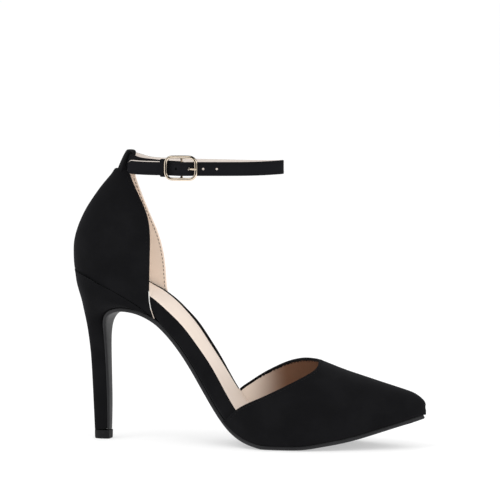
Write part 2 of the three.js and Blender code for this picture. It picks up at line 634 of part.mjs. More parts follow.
const heelCurl = 0.7; // share of a section's points that lie on its round back
const heelDraw = 0.1; // share of its half width that it loses from there to the breast
const heelRound = 0.9; // squareness of the round back, where 1 is an ellipse
const heelSide = 0.95; // the same for its sides
function heelSection(index) {
  const backX = alongShoe(heelColumn.back(index));
  const backZ = seatHeight * (1 - heelColumn.height(index)) - gap / 2;
  const front = soleAt(heelColumn.row(index));
  const lift = front.thick + gap;
  const frontX = front.x + front.normal[0] * lift;
  const frontZ = front.z + front.normal[1] * lift;
  const half = mix(tipWidth, seatWidth, heelColumn.flare(index)) / 2;
  const bow = heelColumn.bow(index);
  const point = (side, t) => {
    const turn = Math.min(t / heelCurl, 1);
    const angle = (turn * Math.PI) / 2;
    const straight = Math.max((t - heelCurl) / (1 - heelCurl), 0);
    const u = straight > 0 ? mix(bow, 1, straight) : bow * (1 - Math.cos(angle) ** heelRound);
    const x = mix(backX, frontX, u);
    const level = mix(backZ, frontZ, u);
    const z = index < 1 ? mix(feather(x) - gap / 2, level, index) : level;
    const narrow = 1 - heelDraw * straight ** 2;
    return [x, side * half * Math.sin(angle) ** heelSide * narrow, z];
  };
  const steps = shares(9);
  return [...steps.slice().reverse().map((t) => point(-1, t)), ...steps.slice(1).map((t) => point(1, t))];
}

const heelRings = shares((HEEL.length - 1) * 2).map((t) => heelSection(t * (HEEL.length - 1)));
addPiece("heel", "fabric", skinRings(heelRings));

// Top lift: the hard tip that the heel stands on. It has the outline of the heel's foot, drawn
// out to the front of the breast.
const liftFoot = 0.6; // height of its bevelled foot
const liftBevel = 0.3;
function topLift() {
  const outline = heelSection(HEEL.length - 1);
  const xs = outline.map(([x]) => x);
  const [back, front] = [Math.min(...xs), Math.max(...xs)];
  const middle = (back + front) / 2;
  const stretch = (soleAt(0).x - middle) / (front - middle);
  const drawnIn = (value, inset) => value - inset * Math.max(Math.min(value, 1), -1);
  const ring = (z, inset) => outline.map(([x, y]) => {
    const reach = (x - middle) * (x > middle ? stretch : 1);
    return [middle + drawnIn(reach, inset), drawnIn(y, inset), z];
  });
  return skinRings([ring(0, liftBevel), ring(liftFoot, 0), ring(liftHeight, 0)]);
}
addPiece("top_lift", "rubber", topLift());

// Insole board: the stiff base, wrapped in fabric, with a raised edge at the waist
const sockSunk = 0.6; // share of the sock's thickness that lies below the board's edge
const boardRound = 1.2; // rounding of its lower edges
const boardLean = 0.3; // how far its raised edge leans in
const boardKnee = 0.62; // share of its thickness where its side starts to lean
const boardThickAt = (x) => mix(boardFore, boardWaist, Math.max(boardColumn.bed(shareAt(x)), 0));
// Half width of the foot bed: what the quarter's inside leaves at the back, and the board's own
// outline in front of it
const quarterGap = gap * 1.2; // the quarter's wall leans, so its level sections need a wider gap
const bedRise = (x) => boardThickAt(x) * featherSlope(x);
const quarterFront = alongShoe(0.273);
function bedHalf(x, side) {
  const own = boardHalf(x);
  if (x >= quarterFront) return own;
  const low = feather(x) + gap / 2;
  const inside = [0, 1, 2].map((step) => {
    const z = low + step * bedRise(x) * 0.9;
    return quarterHalfAt(x, z, upperWall + quarterGap, side);
  });
  return Math.min(own, ...inside);
}

function boardSection(x) {
  const low = feather(x) + gap / 2;
  const stretch = featherSlope(x);
  const thick = bedRise(x);
  const swing = boardSwing(x);
  const round = Math.min(boardRound * stretch, thick * 0.3);
  const side = (s) => {
    const half = bedHalf(x, s);
    const rise = s < 0 ? boardColumn.rimOuter(shareAt(x)) : boardColumn.rimInner(shareAt(x));
    const rim = (rise * rimHeight + sockThick * sockSunk) * stretch;
    const inner = Math.max(half - rimWidth, half * 0.5);
    return [
      [x, swing + s * inner, low + thick],
      [x, swing + s * inner, low + thick + rim],
      [x, swing + s * (half - boardLean), low + thick + rim],
      [x, swing + s * half, low + thick * boardKnee],
      [x, swing + s * half, low + round],
      [x, swing + s * (half - round / stretch), low],
    ];
  };
  return [...side(-1), ...side(1).reverse()];
}

const bedStart = alongShoe(0.016);
const bedEnd = alongShoe(0.968);
const bedShares = shares(60).map((t) => 0.5 - 0.5 * Math.cos(Math.PI * t));
const bedStations = bedShares.map((t) => mix(bedStart, bedEnd, t));
addPiece("insole_board", "fabric", skinRings(bedStations.map(boardSection)));

// Insole sock: the padded footbed that lies between the board's raised edges
const sockShare = 0.9; // of the bed's half width at most, where it is narrow
const sockSoft = 0.8; // rounding of its upper edges
function sockSection(x) {
  const stretch = featherSlope(x);
  const low = feather(x) + gap / 2 + bedRise(x) + gap * stretch;
  const thick = sockThick * stretch;
  const swing = boardSwing(x);
  const side = (s) => {
    const half = bedHalf(x, s);
    const own = Math.min(half - rimWidth - gap, half * sockShare);
    const soft = Math.min(sockSoft, own * 0.3);
    return [
      [x, swing + s * (own - soft), low + thick],
      [x, swing + s * own, low + thick * 0.6],
      [x, swing + s * own, low],
    ];
  };
  return [...side(-1), ...side(1).reverse()];
}
const sockStations = bedStations.slice(5, -5);
addPiece("insole_sock", "lining", skinRings(sockStations.map(sockSection)));

// Ankle strap: one ribbon from the centre bar back along the outer side, round the heel, along
// the inner side to the front bend and back on the outer side, over the bar to its free end.
// along and spread place its middle, as shares of the reach and the spread; drop is how far it
// has fallen and lean how far it leans, as shares of the strap's drop and lean; layer counts the
// plies that it lies outside of.
const ply = strapThick + gap;
const STRAP = [
  { along: 0.412, spread: -1, drop: 0.95, lean: 0, layer: 0 },
  { along: 0.3038, spread: -0.985, drop: 0.86, lean: 0, layer: 0 },
  { along: 0.2071, spread: -0.9, drop: 0.72, lean: 0.1, layer: 0 },
  { along: 0.1105, spread: -0.7, drop: 0.56, lean: 0.3, layer: 0 },
  { along: 0.0472, spread: -0.49, drop: 0.17, lean: 0.65, layer: 0 },
  { along: 0.0115, spread: -0.26, drop: 0.02, lean: 0.95, layer: 0 },
  { along: 0, spread: 0, drop: 0, lean: 1, layer: 0 },
  { along: 0.0115, spread: 0.26, drop: 0.04, lean: 0.95, layer: 0 },
  { along: 0.0472, spread: 0.49, drop: 0.27, lean: 0.65, layer: 0 },
  { along: 0.1105, spread: 0.7, drop: 0.74, lean: 0.3, layer: 0 },
  { along: 0.2267, spread: 0.89, drop: 0.9, lean: 0.1, layer: 0 },
  { along: 0.3326, spread: 0.985, drop: 0.98, lean: 0, layer: 0 },
  { along: 0.4568, spread: 1, drop: 1, lean: 0, layer: 0 },
  { along: 0.5857, spread: 0.93, drop: 1, lean: 0, layer: 0 },
  { along: 0.7123, spread: 0.765, drop: 1, lean: 0, layer: 0 },
  { along: 0.8274, spread: 0.55, drop: 0.96, lean: 0, layer: 0 },
  { along: 0.9252, spread: 0.33, drop: 0.9, lean: 0, layer: 0 },
  { along: 0.9827, spread: 0.155, drop: 0.82, lean: 0, layer: 0 },
  { along: 1, spread: 0, drop: 0.8, lean: 0, layer: 0 },
  { along: 0.9827, spread: -0.155, drop: 0.82, lean: 0, layer: 0 },
  { along: 0.9252, spread: -0.33, drop: 0.9, lean: 0, layer: 0 },
  { along: 0.8274, spread: -0.55, drop: 0.98, lean: 0, layer: 0 },
  { along: 0.7123, spread: -0.765, drop: 1, lean: 0, layer: 0 },
  { along: 0.5972, spread: -0.92, drop: 1, lean: 0, layer: 0.35 },
  { along: 0.5132, spread: -0.985, drop: 1, lean: 0, layer: 1 },
  { along: 0.4914, spread: -0.99, drop: 1, lean: 0, layer: 1.1 },
  { along: 0.4522, spread: -1, drop: 1, lean: 0, layer: 2.2 },
  { along: 0.412, spread: -1, drop: 1, lean: 0, layer: 2.82 },
  { along: 0.3717, spread: -1, drop: 1, lean: 0, layer: 2.2 },
  { along: 0.3326, spread: -0.99, drop: 1, lean: 0, layer: 1.1 },
  { along: 0.3107, spread: -0.985, drop: 1, lean: 0, layer: 1.02 },
  { along: 0.2578, spread: -0.95, drop: 1, lean: 0, layer: 1 },
  { along: 0.183, spread: -0.87, drop: 1, lean: 0.05, layer: 1.05 },
  { along: 0.1082, spread: -0.74, drop: 0.97, lean: 0.1, layer: 1.3 },
  { along: 0.052, spread: -0.65, drop: 0.88, lean: 0.14, layer: 1.52 },
];
const tailRow = STRAP.findIndex((row) => row.along === 1); // the front bend; the tail follows it
const loopSpan = [4.3, 7.3]; // rows between which the loop holds the strap
const strapMiddle = quarterBackTop + 2 * gap + loopWall + strapWidth / 2;
const strapHeel = alongShoe(0.1515); // its middle there, over the quarter's top

const strapLine = new THREE.CatmullRomCurve3(STRAP.map((row) => {
  const side = row.spread < 0 ? -1 : 1;
  return new THREE.Vector3(
    strapHeel + row.along * strapReach,
    row.spread * strapSpread + side * row.layer * ply,
    strapMiddle - row.drop * strapDrop,
  );
}), false, "centripetal");
const leanOf = curveOf(STRAP.map((row, index) => ({ ...row, index })), "index", "lean");

// Middle, length, width and thickness directions of the strap at a row number
function strapFrame(row) {
  const t = row / (STRAP.length - 1);
  const middle = strapLine.getPoint(t);
  const forward = strapLine.getTangent(t);
  const up = new THREE.Vector3(leanOf(row) * strapLean, 0, strapWidth).normalize();
  const out = new THREE.Vector3().crossVectors(forward, up).normalize();
  up.crossVectors(out, forward).normalize();
  return { middle, up, out };
}

// Section across the strap: a flat rectangle with its corners taken off
function ribbonSection({ middle, up, out }, halfThick, halfWidth) {
  const bevel = Math.min(halfThick, halfWidth) * 0.4;
  return [
    [halfThick, bevel - halfWidth], [halfThick, halfWidth - bevel],
    [halfThick - bevel, halfWidth], [bevel - halfThick, halfWidth],
    [-halfThick, halfWidth - bevel], [-halfThick, bevel - halfWidth],
    [bevel - halfThick, -halfWidth], [halfThick - bevel, -halfWidth],
  ].map(([across, along]) => middle.clone()
    .addScaledVector(out, across).addScaledVector(up, along).toArray());
}

const rowsBetween = (from, to, count) => shares(count).map((t) => mix(from, to, t));
const strapTip = 0.5; // rows over which the free end rounds off
const tipNarrow = 0.4; // share of its half width that it loses there

function strapBody() {
  const last = STRAP.length - 1;
  const tipRow = last - strapTip;
  const body = rowsBetween(0, tipRow, Math.round(tipRow * 2.4));
  const tip = shares(4).slice(1).map((t) => tipRow + strapTip * (1 - (1 - t) ** 1.6));
  return skinRings([...body, ...tip].map((row) => {
    const round = Math.max((row - tipRow) / strapTip, 0);
    const half = (strapWidth / 2) * (1 - tipNarrow * round ** 2.5);
    return ribbonSection(strapFrame(row), strapThick / 2, half);
  }));
}

// The strap's place at a distance along the shoe, on its free ply near the buckle
function tailAt(x) {
  let [a, b] = [tailRow, STRAP.length - 1];
  for (let i = 0; i < 40; i += 1) {
    const m = (a + b) / 2;
    if (strapLine.getPoint(m / (STRAP.length - 1)).x > x) a = m;
    else b = m;
  }
  return strapFrame(a);
}

// Upright solids of the buckle
function post(radius, height, x, y, z, sides = 16) {
  const geometry = new THREE.CylinderGeometry(radius, radius, height, sides);
  return solidFrom(geometry.rotateX(Math.PI / 2).translate(x, y, z));
}

function wire(points, radius, steps) {
  const corners = points.map((point) => new THREE.Vector3(...point));
  const path = new THREE.CatmullRomCurve3(corners, false, "centripetal");
  const circle = new THREE.Shape().absarc(0, 0, radius, 0, Math.PI * 2);
  return solidFrom(new THREE.ExtrudeGeometry(circle, { extrudePath: path, steps, curveSegments: 4 }));
}

const buckleX = strapHeel + buckleReach;
const bucklePlace = tailAt(buckleX).middle;
const buckleZ = bucklePlace.z;
const barY = -strapSpread - strapThick / 2 - gap - barRadius;
const foldRadius = barRadius + gap + foldWall;
const frameY = -strapSpread - ply - strapThick / 2 - gap - frameWire;

// The pin: a ring round the bar, then out through its hole and onto the frame's front bar. along is
// a share of its length from the bar to its end, out a share of the way from the bar to its rest.
const ringRadius = barRadius + gap + prongRadius;
const pinReach = frameLength / 2 - frameWire + pinOver;
const restY = frameY - frameWire - gap - prongRadius;
const holeX = buckleX + pinReach * pinHole;
const PIN = [
  { along: 0.089, out: 0.322 },
  { along: 0.234, out: 0.117 },
  { along: 0.402, out: 0.195 },
  { along: 0.507, out: 0.552 },
  { along: 0.622, out: 0.935 },
  { along: 0.761, out: 1 },
  { along: 1, out: 1 },
];
const pinLine = PIN.map(({ along, out }) => [buckleX + pinReach * along, mix(barY, restY, out), buckleZ]);
function prong(spare = 0) {
  const ring = new THREE.TorusGeometry(ringRadius, prongRadius + spare, 8, 14);
  return wire(pinLine, prongRadius + spare, 16).add(solidFrom(ring.translate(buckleX, barY, buckleZ)));
}
addPiece("buckle_prong", "gold", prong());

const foldShare = 0.94; // of the strap's width that its fold takes
function ankleStrap() {
  const fold = post(foldRadius, strapWidth * foldShare, buckleX, barY, buckleZ, 20);
  let strap = strapBody().add(fold);
  strap = strap.subtract(post(barRadius + gap, strapWidth * 2, buckleX, barY, buckleZ, 18));
  const slot = new THREE.BoxGeometry(foldRadius * 2.6, foldRadius * 3.4, 2 * (prongRadius + gap));
  strap = strap.subtract(solidFrom(slot.translate(buckleX + foldRadius * 0.3, barY + 0.5, buckleZ)));
  strap = strap.subtract(prong(gap));
  // The pin has its own hole already, in the middle of the row
  for (let i = 0; i < holeCount; i += 1) {
    const place = i - (holeCount - 1) / 2;
    if (place === 0) continue;
    const { middle, out } = tailAt(holeX + place * holePitch);
    const reach = strapThick * 1.6;
    const turn = new THREE.Quaternion().setFromUnitVectors(new THREE.Vector3(0, 1, 0), out);
    const hole = new THREE.CylinderGeometry(holeRadius, holeRadius, reach, 14).applyQuaternion(turn);
    const away = (reach / 2 - strapThick / 2 - gap / 3) * Math.sign(-out.y);
    const centre = middle.clone().addScaledVector(out, away);
    strap = strap.subtract(solidFrom(hole.translate(...centre.toArray())));
  }
  return strap;
}
addPiece("ankle_strap", "fabric", ankleStrap());

// Buckle frame: a rounded rectangle of square wire with its edges taken off, with its centre bar
// set back on two lugs
const FRAME_SECTION = [
  [1, 0.55], [0.55, 1], [-0.55, 1], [-1, 0.55], [-1, -0.55], [-0.55, -1], [0.55, -1], [1, -0.55],
];
function buckleFrame() {
  const halfLength = frameLength / 2 - frameWire;
  const halfHeight = frameHeight / 2 - frameWire;
  const frameZ = buckleZ + frameRise;
  const centres = [[1, 1], [-1, 1], [-1, -1], [1, -1]];
  const rings = centres.flatMap(([sx, sz], quarterTurn) => shares(5).map((t) => {
    const angle = (quarterTurn + t) * (Math.PI / 2);
    const outX = Math.cos(angle);
    const outZ = Math.sin(angle);
    const x = buckleX + sx * (halfLength - frameCorner) + outX * frameCorner;
    const z = frameZ + sz * (halfHeight - frameCorner) + outZ * frameCorner;
    return FRAME_SECTION.map(([across, away]) => {
      const reach = across * frameWire;
      return [x + outX * reach, frameY + away * frameWire, z + outZ * reach];
    });
  }));
  let frame = skinRings(rings, true);
  frame = frame.add(post(barRadius, frameHeight - 2 * frameWire, buckleX, barY, frameZ));
  for (const side of [-1, 1]) {
    const lug = new THREE.CylinderGeometry(frameWire, frameWire, frameY - barY, 12, 1);
    const z = frameZ + side * halfHeight;
    frame = frame.add(solidFrom(lug.scale(1, -1, 1).translate(buckleX, (frameY + barY) / 2, z)));
  }
  return frame;
}
addPiece("buckle_frame", "gold", buckleFrame());

// A tunnel round the strap, from one row of it to another
function tunnel(frames, ends, halfThick, halfWidth, wall) {
  const outside = skinRings(frames.map((frame) => ribbonSection(frame, halfThick + wall, halfWidth + wall)));
  const inside = skinRings(ends.map((frame) => ribbonSection(frame, halfThick, halfWidth)));
  return outside.subtract(inside);
}

function strapLoop() {
  const [from, to] = loopSpan;
  const frames = rowsBetween(from, to, 12).map(strapFrame);
  const ends = rowsBetween(from - 0.1, to + 0.1, 12).map(strapFrame);
  return tunnel(frames, ends, strapThick / 2 + gap, strapWidth / 2 + gap, loopWall);
}
addPiece("strap_loop", "fabric", strapLoop());

// Keeper: a small band round both plies, beside the buckle
const keeperRise = strapDrop * 0.06; // the two plies lie at slightly different heights
function keeper() {
  const centre = buckleX - frameLength / 2 - 2 * gap - keeperWidth / 2;
  const { middle, up, out } = tailAt(centre);
  const along = new THREE.Vector3().crossVectors(up, out);
  middle.y += ply / 2;
  middle.z += keeperRise;
  const place = (shift) => ({ middle: middle.clone().addScaledVector(along, shift), up, out });
  const frames = [-keeperWidth / 2, keeperWidth / 2].map(place);
  const ends = [-keeperWidth, keeperWidth].map(place);
  return tunnel(frames, ends, ply + gap, strapWidth / 2 + keeperRise + gap, keeperWall);
}
addPiece("keeper", "fabric", keeper());

export default shoe;
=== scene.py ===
# An ankle strap pump, a right shoe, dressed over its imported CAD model: a napped fabric upper, a
# covered heel, a smooth sole, a beige lining and footbed, and a gold buckle on the ankle strap.
# Metres. +X points to the toe, +Y to the inner side of the foot, +Z up.
import math

import bmesh
import bpy
from mathutils import Matrix, Vector
from mathutils.bvhtree import BVHTree


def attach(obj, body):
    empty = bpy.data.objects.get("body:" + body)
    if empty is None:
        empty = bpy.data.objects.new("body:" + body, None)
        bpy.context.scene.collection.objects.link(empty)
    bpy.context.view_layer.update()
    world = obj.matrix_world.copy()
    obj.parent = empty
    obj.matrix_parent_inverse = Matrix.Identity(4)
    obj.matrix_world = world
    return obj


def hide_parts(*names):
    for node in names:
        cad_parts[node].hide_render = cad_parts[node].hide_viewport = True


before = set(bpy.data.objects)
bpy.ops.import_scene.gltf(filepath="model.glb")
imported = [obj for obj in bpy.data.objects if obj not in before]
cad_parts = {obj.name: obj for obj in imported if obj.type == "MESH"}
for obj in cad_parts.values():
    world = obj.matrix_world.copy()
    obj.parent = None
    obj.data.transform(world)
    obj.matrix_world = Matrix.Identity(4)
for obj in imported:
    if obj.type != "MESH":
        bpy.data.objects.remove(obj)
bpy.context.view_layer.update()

# Outsole: one sheet of black rubber from the toe, over the waist and down the heel's breast. It
# is moulded, buffed at its edge, and cemented under the upper.
mm = 0.001
sole_black = (0.0115, 0.0115, 0.013, 1)
sole_worn = (0.018, 0.018, 0.020, 1)
sole_rounding = 0.35 * mm
merge_gap = 0.002 * mm
skin_growth = 0.13 * mm
flat_enough = math.radians(40)
square_enough = math.radians(60)
corner_turn = math.radians(50)
rounding_steps = 2


class Wire:
    """A socket in a material. Sums, differences and products of it add the maths nodes."""

    def __init__(self, tree, socket=None):
        self.tree = tree
        self.socket = socket

    def add(self, kind, settings, sockets, out=0):
        node = self.tree.nodes.new(kind)
        for name, value in settings.items():
            setattr(node, name, value)
        for key, value in sockets.items():
            if isinstance(value, Wire):
                self.tree.links.new(value.socket, node.inputs[key])
            else:
                node.inputs[key].default_value = value
        return Wire(self.tree, node.outputs[out])

    def maths(self, operation, first, second):
        return self.add("ShaderNodeMath", {"operation": operation}, {0: first, 1: second})

    def __add__(self, other):
        return self.maths("ADD", self, other)

    def __mul__(self, other):
        return self.maths("MULTIPLY", self, other)

    def __rsub__(self, other):
        return self.maths("SUBTRACT", other, self)

    __radd__ = __add__
    __rmul__ = __mul__

    def blend(self, low, high):
        return self.add("ShaderNodeMix", {"data_type": "RGBA"}, {0: self, 6: low, 7: high}, 2)

    def ramp(self, low, high):
        settings = {"interpolation_type": "SMOOTHSTEP"}
        return self.add("ShaderNodeMapRange", settings, {0: self, 1: low, 2: high})

    def noise(self, scale, detail=2, roughness=0.5):
        values = {"Vector": self, "Scale": scale, "Detail": detail, "Roughness": roughness}
        return self.add("ShaderNodeTexNoise", {}, values)

    def bump(self, depth, strength):
        values = {"Height": self, "Distance": depth, "Strength": strength}
        return self.add("ShaderNodeBump", {}, values)


def finish(name, recipe):
    """A material. Its recipe takes a place on the piece and gives the shader's sockets."""
    made = bpy.data.materials.new(name)
    made.use_nodes = True
    tree = made.node_tree
    tree.nodes.clear()
    place = Wire(tree).add("ShaderNodeTexCoord", {}, {}, "Object")
    shader = place.add("ShaderNodeBsdfPrincipled", {}, recipe(place))
    output = tree.nodes.new("ShaderNodeOutputMaterial")
    tree.links.new(shader.socket, output.inputs["Surface"])
    return made


def choose(*objects):
    """Selects these objects alone, the first one active."""
    bpy.ops.object.select_all(action="DESELECT")
    for chosen in objects:
        chosen.select_set(True)
    bpy.context.view_layer.objects.active = objects[0]


def skin_of(node, name, grow=skin_growth):
    """A copy of a CAD node as one skin of quads, grown a little to close the gaps between pieces."""
    piece = bpy.data.objects.new(name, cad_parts[node].data.copy())
    bpy.context.collection.objects.link(piece)
    piece.data.materials.clear()
    choose(piece)
    bpy.ops.object.mode_set(mode="EDIT")
    bpy.ops.mesh.select_all(action="SELECT")
    bpy.ops.mesh.remove_doubles(threshold=merge_gap)
    bpy.ops.mesh.tris_convert_to_quads(face_threshold=flat_enough, shape_threshold=square_enough)
    if grow:
        bpy.ops.transform.shrink_fatten(value=grow)
    bpy.ops.mesh.select_all(action="DESELECT")
    bpy.ops.object.mode_set(mode="OBJECT")
    return piece


def round_edges(piece, width, material=-1):
    """Rounds the sharp edges. Material -1 keeps the material of the faces beside them."""
    choose(piece)
    rounding = piece.modifiers.new("rounding", "BEVEL")
    rounding.width = width
    rounding.segments = rounding_steps
    rounding.angle_limit = corner_turn
    rounding.use_clamp_overlap = True
    rounding.material = material
    bpy.ops.object.modifier_apply(modifier=rounding.name)


def smooth(piece, levels, angle=180):
    """Divides the faces to a smoother shape. Edges that turn by more than the angle stay crisp."""
    choose(piece)
    finer = piece.modifiers.new("finer", "SUBSURF")
    finer.levels = levels
    finer.render_levels = levels
    bpy.ops.object.modifier_apply(modifier=finer.name)
    bpy.ops.object.shade_smooth_by_angle(angle=math.radians(angle))


def place_on(piece, node):
    """Puts a finished piece in the place of its CAD node."""
    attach(piece, "root")
    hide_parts(node)


def rubber(place):
    scuffs = place.noise(90, 4, 0.6).ramp(0.42, 0.7)
    grain = place.noise(2600, 2)
    return {
        "Base Color": scuffs.blend(sole_black, sole_worn),
        "Roughness": 0.48 + 0.12 * scuffs,
        "Specular IOR Level": 0.3,
        "Normal": grain.bump(0.02 * mm, 0.5),
    }


sole = skin_of("outsole", "sole_skin")
round_edges(sole, sole_rounding)
smooth(sole, levels=1, angle=45)
sole.data.materials.append(finish("sole_rubber", rubber))
place_on(sole, "outsole")

# Heel: a moulded core covered with the same fabric as the upper, wrapped from behind and turned
# in under the sole at the breast.
suede_black = (0.0046, 0.0046, 0.0052, 1)
suede_light = (0.0075, 0.0075, 0.0084, 1)
heel_rounding = 0.3 * mm


def suede(place):
    """Short brushed nap: fine fibres, and soft clouds where the nap lies another way."""
    clouds = place.noise(55, 3, 0.55).ramp(0.35, 0.7)
    fibres = place.noise(2300, 3, 0.7)
    shade = 0.65 * clouds + 0.35 * fibres
    nap = fibres + 0.6 * place.noise(900, 2)
    return {
        "Base Color": shade.blend(suede_black, suede_light),
        "Roughness": 0.92,
        "Specular IOR Level": 0.05,
        "Sheen Weight": 0.05,
        "Sheen Roughness": 0.45,
        "Sheen Tint": (0.7, 0.7, 0.75, 1),
        "Normal": nap.bump(0.06 * mm, 0.6),
    }


suede_cloth = finish("suede_cloth", suede)
heel = skin_of("heel", "heel_cover")
round_edges(heel, heel_rounding)
smooth(heel, levels=2, angle=60)
heel.data.materials.append(suede_cloth)
place_on(heel, "heel")

# Top lift: the small tip of hard black rubber that carries the heel. It is nailed on from below
# and ground flush with the heel's cover.
tip_black = (0.006, 0.006, 0.007, 1)
tip_dust = (0.013, 0.013, 0.014, 1)
tip_rounding = 0.25 * mm


def tip_rubber(place):
    dust = place.noise(400, 4, 0.6).ramp(0.5, 0.75)
    return {
        "Base Color": dust.blend(tip_black, tip_dust),
        "Roughness": 0.6 + 0.2 * dust,
        "Specular IOR Level": 0.2,
        "Normal": place.noise(3000, 2).bump(0.03 * mm, 0.6),
    }


lift = skin_of("top_lift", "heel_tip")
round_edges(lift, tip_rounding)
smooth(lift, levels=1, angle=45)
lift.data.materials.append(finish("tip_rubber", tip_rubber))
place_on(lift, "top_lift")

# Insole sock: the pale footbed that the foot stands on, a sheet of smooth synthetic leather over a
# thin pad, cut to the board's outline and cemented on it.
sock_pale = (0.86, 0.745, 0.655, 1)
sock_warm = (0.80, 0.675, 0.575, 1)
sock_rounding = 0.3 * mm


def sock_leather(place):
    clouds = place.noise(40, 3, 0.5)
    pores = place.add("ShaderNodeTexVoronoi", {"feature": "F1"}, {"Vector": place, "Scale": 1500})
    return {
        "Base Color": clouds.blend(sock_pale, sock_warm),
        "Roughness": 0.55 + 0.1 * clouds,
        "Normal": (pores + 0.5 * place.noise(500, 3)).bump(0.035 * mm, 0.5),
    }


pale_leather = finish("pale_leather", sock_leather)
sock = skin_of("insole_sock", "footbed")
round_edges(sock, sock_rounding)
smooth(sock, levels=1, angle=60)
sock.data.materials.append(pale_leather)
place_on(sock, "insole_sock")

# Insole board: the stiff base of the shoe, with the upper's fabric wrapped over its sides and
# raised edge. Under the vamp its edge is covered with the footbed's leather.
vamp_start = {-1: 0.098, 1: 0.0845}  # on the outer and on the inner side
underneath = -0.3
board_rounding = 0.3 * mm
board = skin_of("insole_board", "board_cover")
round_edges(board, board_rounding)
smooth(board, levels=1, angle=60)
board.data.materials.append(suede_cloth)
board.data.materials.append(pale_leather)
for face in board.data.polygons:
    side = 1 if face.center.y > 0 else -1
    face.material_index = int(face.center.x > vamp_start[side] and face.normal.z > underneath)
place_on(board, "insole_board")

# Quarter: the heel part of the upper, suede-like fabric outside and beige lining inside, folded
# over at its top and front edges and stitched there. It is lasted over the seat.
lining_beige = (0.82, 0.69, 0.585, 1)
lining_light = (0.90, 0.79, 0.69, 1)
raw_grey = (0.8, 0.78, 0.75, 1)
raw_white = (0.9, 0.89, 0.87, 1)
thread_black = (0.004, 0.004, 0.0045, 1)
thread_sheen = (0.007, 0.007, 0.008, 1)
wall_depth = 3 * mm
fold_rounding = 0.45 * mm
stitch_length = 1.75 * mm
stitch_width = 0.42 * mm
stitch_height = 0.8 * stitch_width
stitch_lift = 0.12 * stitch_width
stitch_pitch = 2.5 * mm
stitch_inset = 1.9 * mm
lining_inset = 1.2 * mm
opposite = 0.8  # how squarely the other side of a wall faces a layer
looks_forward = 0.3
looks_up = 0.7
ray_start = 0.35 * mm
shortest_run = 4
lining_top = 0.169
raw_top = 0.0975
cup_back = 0.004
cup_front = 0.045
cup_top = 0.12
cup_lean = 0.42


def lining(place):
    clouds = place.noise(35, 3, 0.5)
    pores = place.add("ShaderNodeTexVoronoi", {"feature": "F1"}, {"Vector": place, "Scale": 1300})
    return {
        "Base Color": clouds.blend(lining_beige, lining_light),
        "Roughness": 0.6 + 0.12 * clouds,
        "Normal": (pores + 0.4 * place.noise(420, 3)).bump(0.04 * mm, 0.5),
    }


def raw_edge(place):
    return {
        "Base Color": place.noise(1800, 3).blend(raw_grey, raw_white),
        "Roughness": 0.85,
        "Normal": place.noise(2600, 3).bump(0.08 * mm, 0.7),
    }


def thread(place):
    return {
        "Base Color": place.noise(4000, 2).blend(thread_black, thread_sheen),
        "Roughness": 0.6,
        "Specular IOR Level": 0.15,
        "Normal": place.noise(6000, 2).bump(0.02 * mm, 0.5),
    }


lining_leather = finish("lining_leather", lining)
raw_cut = finish("raw_edge", raw_edge)
black_thread = finish("black_thread", thread)
FABRIC, LINING, EDGE, RAW = 0, 1, 2, 3


def spine_point(point, spine):
    """The nearest point of a line of straight pieces."""
    best = None
    for start, end in zip(spine, spine[1:]):
        span = end - start
        share = max(0, min(1, (point - start).dot(span) / span.length_squared))
        near = start + span * share
        if best is None or (near - point).length < (best - point).length:
            best = near
    return best


def sort_faces(piece, spine_at):
    """Gives each face of a thin wall its layer: outside, lining, or the edge between them."""
    mesh = bmesh.new()
    mesh.from_mesh(piece.data)
    tree = BVHTree.FromBMesh(mesh)
    for face in mesh.faces:
        centre = face.calc_center_median()
        through = tree.ray_cast(centre - face.normal * ray_start, -face.normal, wall_depth)
        outward = face.normal.dot(centre - spine_point(centre, spine_at(centre))) > 0
        if through[0] is None or abs(through[1].dot(face.normal)) < opposite:
            face.material_index = EDGE
        else:
            face.material_index = FABRIC if outward else LINING
    mesh.to_mesh(piece.data)
    mesh.free()


def edge_runs(piece, layer, allowed):
    """Chains of points where a layer meets the wall's edge, each with the way into the layer."""
    mesh = bmesh.new()
    mesh.from_mesh(piece.data)
    links = {}
    for edge in mesh.edges:
        if len(edge.link_faces) != 2:
            continue
        kinds = [face.material_index for face in edge.link_faces]
        if sorted(kinds) != sorted([layer, EDGE]):
            continue
        skin = edge.link_faces[kinds.index(layer)]
        rim = edge.link_faces[kinds.index(EDGE)]
        if not allowed(rim.calc_center_median(), rim.normal):
            continue
        middle = (edge.verts[0].co + edge.verts[1].co) / 2
        along = (edge.verts[1].co - edge.verts[0].co).normalized()
        inward = along.cross(skin.normal)
        if inward.dot(skin.calc_center_median() - middle) < 0:
            inward = -inward
        for here, there in (edge.verts, reversed(edge.verts)):
            links.setdefault(here, []).append((there, inward))
    runs = []
    left = set(links)
    while left:
        ends = [vert for vert in left if len(links[vert]) == 1]
        start = min(ends or left, key=lambda vert: tuple(vert.co))
        run = [start]
        left.discard(start)
        while True:
            ahead = [vert for vert, _ in links[run[-1]] if vert in left]
            if not ahead:
                break
            run.append(ahead[0])
            left.discard(ahead[0])
        if len(run) >= shortest_run:
            ways = [sum((way for _, way in links[vert]), Vector()).normalized() for vert in run]
            runs.append([(vert.co.copy(), way) for vert, way in zip(run, ways)])
    mesh.free()
    return runs


def evenly(run, pitch, inset):
    """Points at an even pitch along a run, moved into the layer by an inset."""
    line = [point + way * inset for point, way in run]
    places = []
    wait = pitch / 2
    for start, end in zip(line, line[1:]):
        span = (end - start).length
        while wait <= span and span > 0:
            places.append(start.lerp(end, wait / span))
            wait += pitch
        wait -= span
    return places


